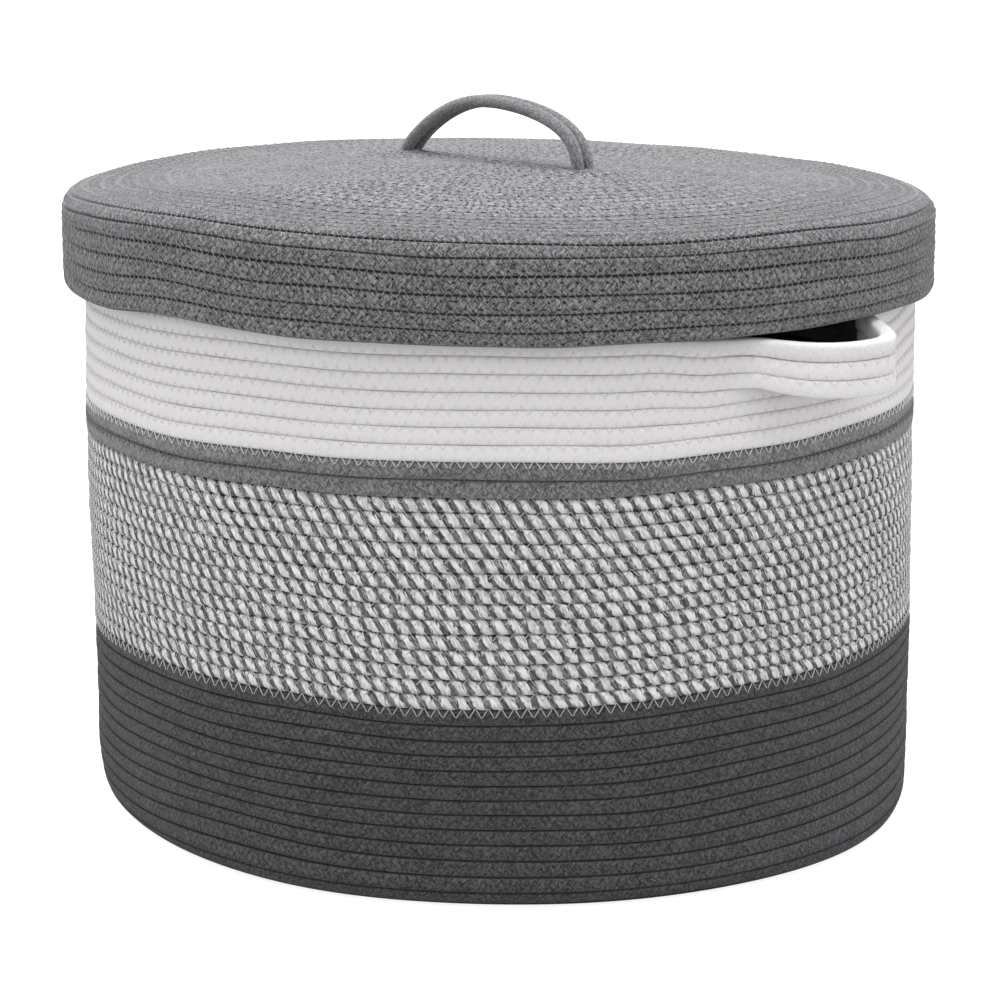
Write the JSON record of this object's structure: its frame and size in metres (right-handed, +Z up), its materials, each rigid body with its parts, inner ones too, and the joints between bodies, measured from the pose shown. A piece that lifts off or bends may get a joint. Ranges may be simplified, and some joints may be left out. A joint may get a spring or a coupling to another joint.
{
  "type": "rope storage basket",
  "caption": "Round coiled rope storage basket in banded greys and white, with a lift-off lid that has a rope loop, and side handles swung out of the wall.",
  "frame": {"origin": "middle of the base's underside, on the floor", "axes": "+Z up; the side handles lie on the X axis, +X towards the handle that shows in the picture; -Y towards its front"},
  "size_m": [0.5776, 0.5216, 0.4216],
  "materials": {
    "charcoal_rope": "matt braided cotton rope, charcoal",
    "twist_rope": "matt twisted cotton rope, white and grey strands",
    "stripe_rope": "matt braided cotton rope, mid grey",
    "white_rope": "matt braided cotton rope, off-white",
    "lid_rope": "matt braided cotton rope, grey"
  },
  "bodies": {
    "basket": {"base_coil": "charcoal_rope", "charcoal_wall": "charcoal_rope", "twist_wall": "twist_rope", "stripe_wall": "stripe_rope", "white_wall": "white_rope", "handle_rows": "white_rope", "rim_rows": "white_rope"},
    "lid": {"lid_top": "lid_rope", "lid_skirt": "lid_rope", "loop_tail_left_front": "lid_rope", "loop_tail_left_back": "lid_rope", "loop_tail_right_front": "lid_rope", "loop_tail_right_back": "lid_rope"},
    "lid_loop": {"loop_rope_front": "lid_rope", "loop_rope_back": "lid_rope"}
  },
  "joints": [
    {"name": "lid_lift", "type": "slide", "parent": "basket", "child": "lid", "axis": [0, 0, 1], "range_m": [0, 0.15]},
    {"name": "loop_lean", "type": "hinge", "parent": "lid", "child": "lid_loop", "pos_m": [0, 0, 0.38905], "axis": [1, 0, 0], "range_deg": [-70, 70]}
  ]
}
